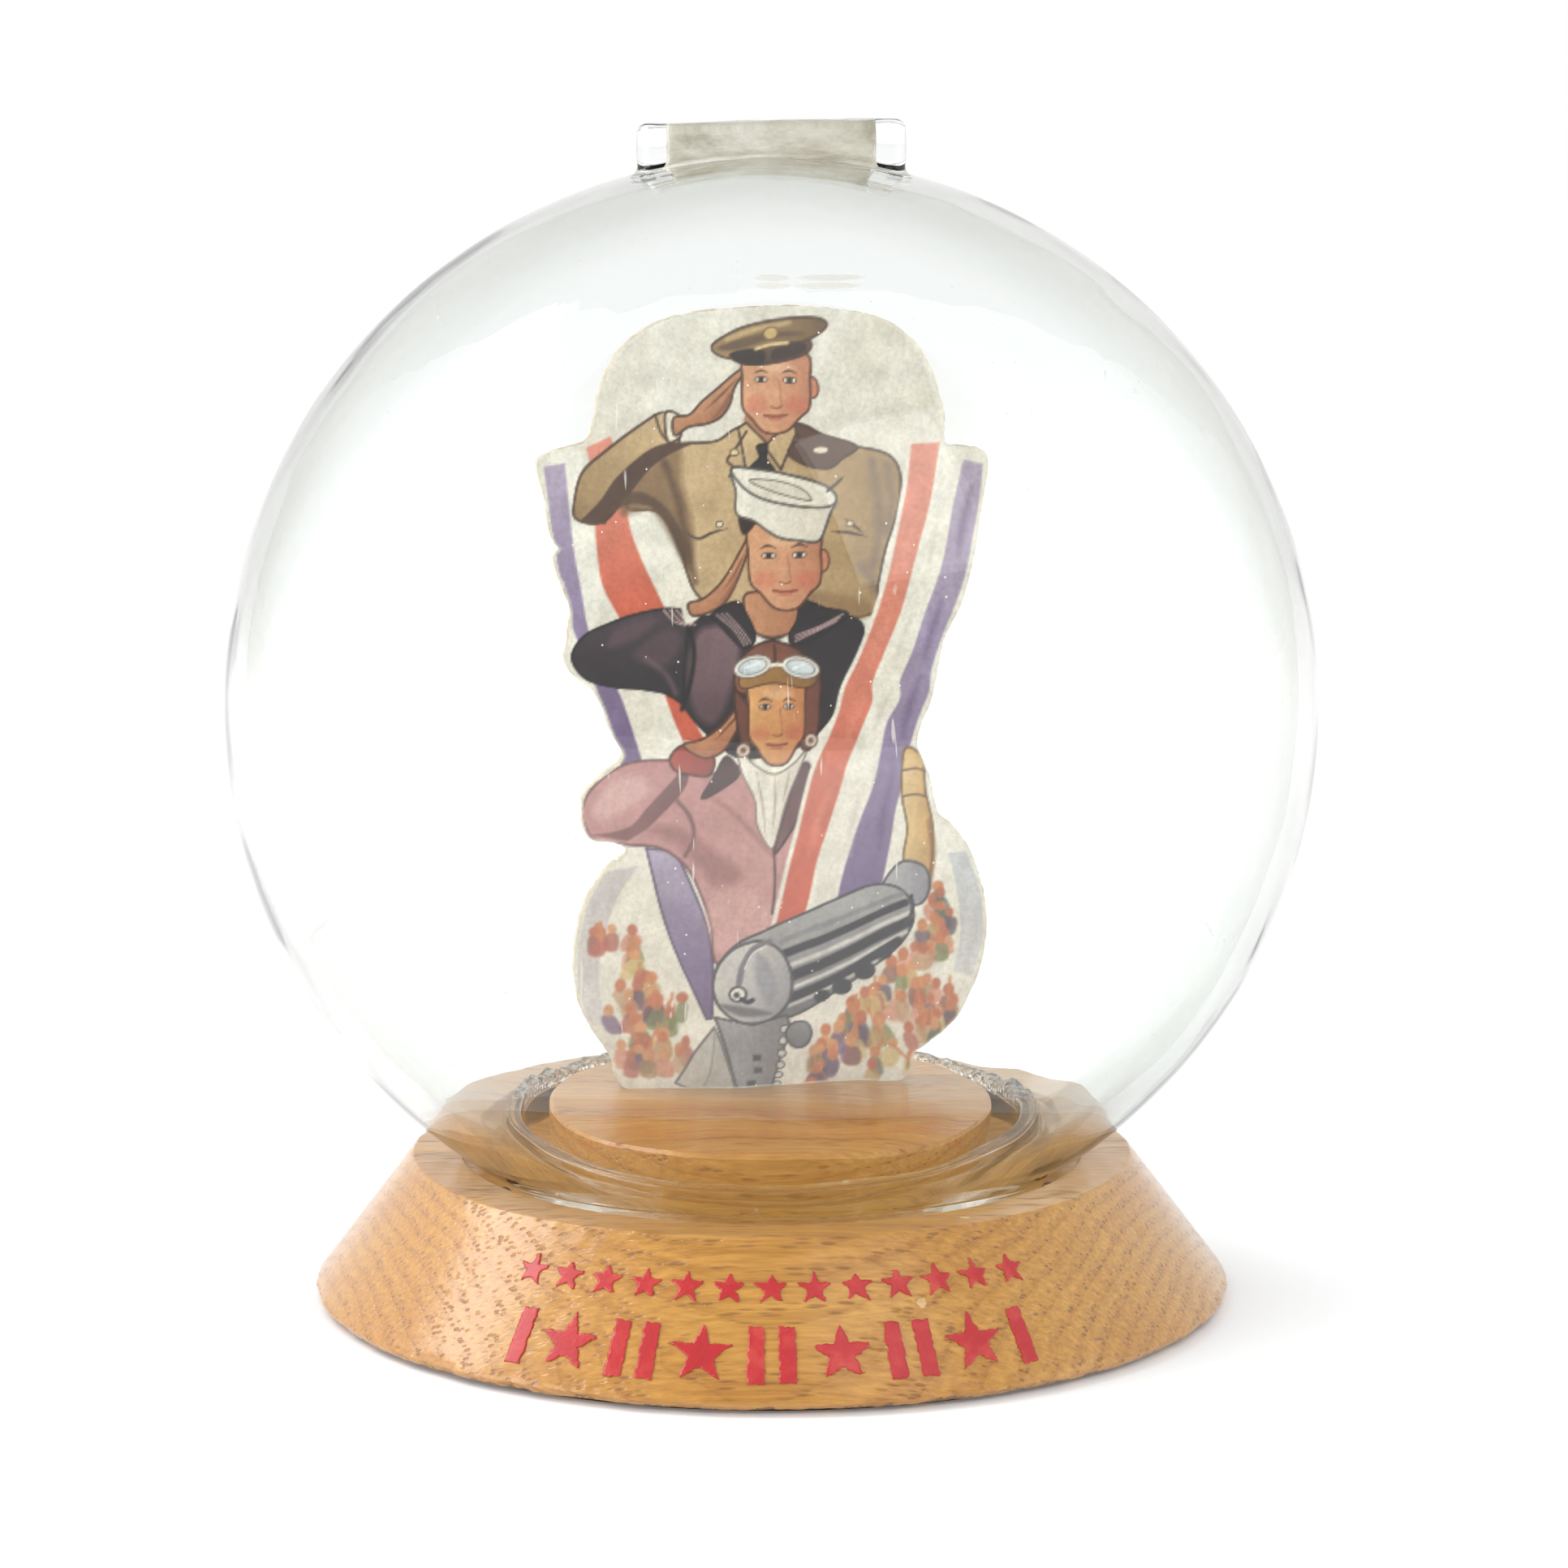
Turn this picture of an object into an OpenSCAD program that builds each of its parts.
// Glass globe coin bank on a turned oak base, with a printed picture standing inside it.
// Millimetres, +Z up. The origin is on the ground, on the base's axis, and the picture faces -Y.

/* [Oak base] */
// Widest diameter of the base, round its foot
base_dia = 143; // [132:1:170]
// Diameter of the base's flat top face
base_top_dia = 112; // [108:1:124]
// Height of the oak above the felt
base_h = 21.5; // [16:0.5:30]
// Bevel worn round the foot
foot_bevel = 1; // [0.4:0.2:2]
// Depth of the round seat turned in the top face
seat_depth = 2.2; // [1.6:0.1:2.6]
// Thickness of the felt under the base
felt_t = 0.8; // [0.5:0.1:2]
// How far the felt stays in from the foot's edge
felt_inset = 3.5; // [2:0.5:10]

/* [Locating disc] */
// Height of the oak disc that fills the globe's opening
disc_h = 9; // [7:0.5:14]
// Radial room between the disc and the globe's opening
disc_room = 4.6; // [1:0.2:6]
// Chamfer round the disc's top edge
disc_chamfer = 0.5; // [0.2:0.1:1]

/* [Glass globe] */
// Outside diameter of the globe
globe_dia = 168; // [162:1:190]
// Thickness of the glass round the middle
wall = 3; // [2:0.2:3.6]
// How much thicker the glass is at the foot than at the crown, over two
foot_gather = 0.8; // [0.2:0.1:1.2]
// Radius of the rounded heel that the globe stands on
heel_r = 3; // [2.4:0.1:3.6]
// Height of the turned-up neck above the heel's centre
neck_h = 5.4; // [4:0.2:6]
// Radial room between the globe and the wall of its seat
seat_room = 1.2; // [0.6:0.1:2]
// Radial room between the globe's opening and the card that it passes over
card_room = 0.9; // [0.6:0.1:2]

/* [Coin slot] */
// Diameter of the largest coin that the slot takes
coin_dia = 30.6; // [19:0.1:32]
// Room along the slot beyond that coin
coin_room = 1; // [0.6:0.2:3]
// Width of the slot
slot_w = 4.6; // [4.3:0.1:5]
// Thickness of the collar's glass beside the slot
collar_side = 4.2; // [3:0.2:6]
// Thickness of the collar's glass at each end of the slot
collar_end = 4.4; // [3:0.2:6]
// Height of the collar above the globe's crown
collar_rise = 5.7; // [4:0.1:12]
// Radius of the collar's upright corners
collar_corner = 3; // [1:0.5:4]

/* [Picture card] */
// Height of the card above the disc
card_h = 123.5; // [100:0.5:126]
// Thickness of the chipboard
card_t = 2.4; // [1.5:0.1:3]
// Thickness of the printed paper on its front
print_t = 0.2; // [0.15:0.05:0.4]
// Sideways place of the card's middle
card_x = -1; // [-2:0.5:2]
// Place of the card's middle behind the globe's axis
card_y = 10; // [6:0.5:12]
// Turn of the card about the vertical
card_turn = 11; // [0:1:12]
// Width of the tongue that stands in the disc
tongue_w = 34; // [20:1:36]
// Depth of the tongue below the disc's top face
tongue_h = 5; // [3:0.5:6]
// Room round the tongue in its slot, on every side
tongue_room = 0.15; // [0.1:0.05:0.3]

/* [Painted ornament] */
// Thickness of the red paint
paint_t = 0.15; // [0.1:0.05:0.3]
// Stars in the upper row
upper_stars = 13; // [5:2:15]
// Point-to-centre radius of an upper star
upper_star_r = 2.9; // [2:0.1:3.2]
// Point-to-centre radius of a lower star
lower_star_r = 4.9; // [3:0.1:5]
// Width of an upright bar in the lower row
bar_w = 2.6; // [1.5:0.1:3]
// Height of an upright bar in the lower row
bar_h = 8.8; // [5:0.2:9]
// Gap between neighbours in a row
row_gap = 1.9; // [0.6:0.1:2.2]

/* [Glue] */
// Radius of a dab of old glue
dab_r = 1.2; // [0.8:0.1:1.3]

/* [Hidden] */
$fn = 96;

// Cut lengths that only have to run past a face
past = 1;

// The card's die line at its drawn height, from its left foot upwards and back round to the foot.
// The first number is across the card from its middle, the second is height above the disc.
drawn_h = 123.5;
card_scale = card_h / drawn_h;
die_line = card_scale * [
    [-20, 0], [-23.2, 0.1], [-24.6, 1.8], [-25.2, 5], [-27, 8.5], [-29.4, 13], [-30.8, 19], [-30.7, 25],
    [-29, 31], [-25.6, 36], [-22, 38.8], [-24.6, 40.2], [-28.2, 41], [-29.4, 44.5], [-28.6, 48.6],
    [-25, 51.6], [-22.6, 53.6], [-24.4, 57], [-27.2, 63.6], [-30.4, 66.4], [-32, 69.4], [-31.4, 73.2],
    [-31, 77], [-33.2, 84.6], [-32.4, 86.2], [-33.6, 88], [-34.9, 95], [-35.9, 99.4], [-35.1, 101.1],
    [-31, 102.2], [-27.6, 103.2], [-26.8, 106.6], [-25.8, 111.6], [-22.6, 117.4], [-17.2, 121],
    [-9.6, 122.9], [2.4, 123.5], [13, 122.6], [20.4, 120.4], [25.8, 114.8], [28, 108], [28.3, 102.6],
    [29.4, 101.6], [34, 101], [35.5, 99], [35, 94.6], [33.6, 86], [31.4, 77.6], [28.4, 70.6], [26.8, 62.4],
    [25, 57.6], [24.4, 54.6], [26.2, 49.8], [27.8, 43.6], [30.6, 41], [33.6, 36], [35.6, 29], [36, 22.4],
    [34.4, 15.4], [31, 9.6], [26.4, 5.8], [23.8, 4], [23.4, 1.7], [22, 0.1], [19, 0]];

// Oak base, from the ground up
foot_r = base_dia / 2;
top_r = base_top_dia / 2;
top_z = felt_t + base_h;
seat_z = top_z - seat_depth;

// Globe: its opening lets the card through, and its heel sets how high it stands
globe_r = globe_dia / 2;
card_back = card_t / 2;
card_front = card_t / 2 + print_t;
opening_r = max([for (p = die_line, side = [-card_front, card_back]) norm(card_place(p.x, side))])
    + card_room;
heel_ring_r = opening_r + heel_r;
heel_land = 0.15;
heel_z = seat_z - heel_land + heel_r;
globe_z = heel_z + sqrt(pow(globe_r - heel_r, 2) - heel_ring_r * heel_ring_r);
heel_meets = globe_r / (globe_r - heel_r);
heel_meet_z = globe_z - (globe_z - heel_z) * heel_meets;
crown_z = globe_z + globe_r;
neck_t = wall - 0.2;
neck_r = opening_r + neck_t;
neck_z = heel_z + neck_h;
seat_r = sqrt(globe_r * globe_r - pow(globe_z - top_z, 2)) + seat_room;

// Inside of the globe, and the rounded trough between its wall and the neck
hollow_r = globe_r - wall;
hollow_z = globe_z + foot_gather;
trough_r = 1.2;
trough_ring_r = neck_r + trough_r;
trough_z = hollow_z - sqrt(pow(hollow_r - trough_r, 2) - trough_ring_r * trough_ring_r);
trough_meets = hollow_r / (hollow_r - trough_r);
trough_meet_z = hollow_z - (hollow_z - trough_z) * trough_meets;

// Coin slot and its collar
slot_len = coin_dia + coin_room;
collar_len = slot_len + 2 * collar_end;
collar_w = slot_w + 2 * collar_side;
collar_z = crown_z + collar_rise;

// Disc and card
disc_r = opening_r - disc_room;
disc_z = seat_z + disc_h;

// Slope of the base's side, from its top edge to the bevel
slope_run = foot_r - top_r;
slope_drop = base_h - foot_bevel;
slope_len = norm([slope_run, slope_drop]);
slope_tilt = atan(slope_run / slope_drop);
upper_row_at = 0.31;
lower_row_at = 0.705;
lower_row = ["bar", "star", "bar", "bar", "star", "bar", "bar", "star", "bar", "bar", "star", "bar"];
star_waist = 0.42;
dab_angles = [-28, 92, 212];

// A point of the card seen from above: across it, and out of its face towards the back
function card_place(across, out) = [
    card_x + across * cos(card_turn) - out * sin(card_turn),
    card_y + across * sin(card_turn) + out * cos(card_turn)];

// Smooth line through every point, from the first to the last
function smooth_line(points, steps) = let (last = len(points) - 1) concat([
    for (i = [0 : last - 1], k = [0 : steps - 1])
        let (
            t = k / steps,
            a = points[max(i - 1, 0)],
            b = points[i],
            c = points[i + 1],
            d = points[min(i + 2, last)])
        0.5 * (2 * b + (c - a) * t + (2 * a - 5 * b + 4 * c - d) * t * t
            + (3 * b - a - 3 * c + d) * t * t * t)],
    [points[last]]);

// Cut edge of the card above the disc; nothing of it dips below the disc's face
card_edge = [for (p = smooth_line(die_line, 5)) [p.x, max(p.y, 0)]];

function total(values, count) = count <= 0 ? 0 : values[count - 1] + total(values, count - 1);

module ring(inner, outer, low, high) {
    translate([inner, low]) square([outer - inner, high - low]);
}

module star(radius) {
    polygon([for (i = [0 : 9]) let (r = i % 2 == 0 ? radius : radius * star_waist)
        [r * sin(36 * i), r * cos(36 * i)]]);
}

module oak_base() {
    color("peru") rotate_extrude() polygon([
        [0, felt_t], [foot_r - foot_bevel, felt_t], [foot_r, felt_t + foot_bevel], [top_r, top_z],
        [seat_r, top_z], [seat_r, seat_z], [0, seat_z]]);
}

module felt_pad() {
    color("darkslategray") cylinder(h = felt_t, r = foot_r - felt_inset);
}

// Disc with a stopped slot for the card's tongue
module locating_disc() {
    slot_depth = tongue_h + tongue_room;
    color("peru") difference() {
        rotate_extrude() polygon([
            [0, seat_z], [disc_r, seat_z], [disc_r, disc_z - disc_chamfer],
            [disc_r - disc_chamfer, disc_z], [0, disc_z]]);
        translate([card_x, card_y, disc_z - slot_depth]) rotate(card_turn)
            translate([-tongue_w / 2 - tongue_room, -card_back - tongue_room, 0])
                cube([tongue_w + 2 * tongue_room, card_t + 2 * tongue_room, slot_depth + past]);
    }
}

// Outline of the glass from its axis outwards: wall, heel, trough and turned-up neck
module globe_section() {
    difference() {
        union() {
            intersection() {
                translate([0, globe_z]) circle(globe_r);
                union() {
                    ring(0, globe_r + past, heel_z, crown_z + past);
                    ring(heel_ring_r, globe_r, heel_meet_z, heel_z);
                }
            }
            translate([heel_ring_r, heel_z]) circle(heel_r);
        }
        ring(-globe_r - past, globe_r + past, seat_z - past, seat_z);
        ring(-globe_r - past, 0, seat_z - past, crown_z + past);
        ring(-past, opening_r, seat_z - past, neck_z + past);
        translate([trough_ring_r, trough_z]) circle(trough_r);
        intersection() {
            translate([0, hollow_z]) circle(hollow_r);
            union() {
                ring(-past, globe_r, neck_z, crown_z);
                ring(neck_r, globe_r, trough_z, neck_z + past);
                ring(trough_ring_r, globe_r, trough_meet_z, trough_z + past);
            }
        }
    }
}

// Oblong block with rounded upright corners, on the globe's axis
module collar_block(low, high) {
    half_len = collar_len / 2 - collar_corner;
    half_w = collar_w / 2 - collar_corner;
    translate([0, 0, low]) linear_extrude(high - low) union() {
        square([collar_len, 2 * half_w], center = true);
        square([2 * half_len, collar_w], center = true);
        for (x = [-half_len, half_len], y = [-half_w, half_w]) translate([x, y]) circle(collar_corner);
    }
}

// Globe and slot collar, one piece of glass
module glass_globe() {
    collar_root_z = globe_z + sqrt(hollow_r * hollow_r - collar_len * collar_len / 4);
    color("lightcyan", 0.35) difference() {
        union() {
            rotate_extrude() globe_section();
            difference() {
                collar_block(collar_root_z, collar_z);
                translate([0, 0, hollow_z]) sphere(hollow_r);
            }
        }
        translate([-slot_len / 2, -slot_w / 2, globe_z])
            cube([slot_len, slot_w, globe_r + collar_rise + past]);
    }
}

// One layer of the card standing on the disc, between two depths measured towards the back
module card_layer(front, back) {
    translate([card_x, card_y, disc_z]) rotate(card_turn) translate([0, back, 0]) rotate([90, 0, 0])
        linear_extrude(back - front) children();
}

module picture_card() {
    half = tongue_w / 2;
    color("wheat") card_layer(-card_back, card_back)
        polygon(concat(card_edge, [[half, 0], [half, -tongue_h], [-half, -tongue_h], [-half, 0]]));
}

module picture_print() {
    color("indianred") card_layer(-card_front, -card_back) polygon(card_edge);
}

// Skin of paint on the base's side, cut to the shapes that are painted
module paint_skin() {
    lift_r = paint_t * cos(slope_tilt);
    lift_z = paint_t * sin(slope_tilt);
    intersection() {
        rotate_extrude() polygon([
            [foot_r, felt_t + foot_bevel], [foot_r + lift_r, felt_t + foot_bevel + lift_z],
            [top_r + lift_r, top_z + lift_z], [top_r, top_z]]);
        union() children();
    }
}

// Puts a flat shape on the side of the base: how far down the slope, and how far round from the front
module on_slope(down, along) {
    at_r = top_r + slope_run * down;
    at_z = top_z - slope_drop * down;
    reach = 3;
    rotate(-90 + along / at_r * 180 / PI) translate([at_r, 0, at_z]) rotate([0, 90 - slope_tilt, 0])
        translate([0, 0, -reach]) linear_extrude(2 * reach) rotate(90) children();
}

module upper_paint_row() {
    pitch = 2 * upper_star_r * cos(18) + row_gap / 3;
    color("crimson") paint_skin() for (i = [0 : upper_stars - 1])
        on_slope(upper_row_at, (i - (upper_stars - 1) / 2) * pitch) star(upper_star_r);
}

module lower_paint_row() {
    widths = [for (kind = lower_row) kind == "star" ? 2 * lower_star_r * cos(18) : bar_w];
    count = len(lower_row);
    row_len = total(widths, count) + (count - 1) * row_gap;
    color("crimson") paint_skin() for (i = [0 : count - 1])
        on_slope(lower_row_at, total(widths, i) + i * row_gap + widths[i] / 2 - row_len / 2)
            if (lower_row[i] == "star") star(lower_star_r);
            else square([bar_w, bar_h], center = true);
}

// Dabs of glue in the corner of the seat, clear of the glass
module glue_dabs() {
    color("saddlebrown") for (angle = dab_angles) rotate(angle) intersection() {
        translate([0, 0, seat_z]) cylinder(h = seat_depth, r = seat_r);
        translate([seat_r - dab_r * 0.42, 0, seat_z + dab_r * 0.65]) sphere(dab_r);
    }
}

oak_base();
felt_pad();
locating_disc();
glass_globe();
picture_card();
picture_print();
upper_paint_row();
lower_paint_row();
glue_dabs();
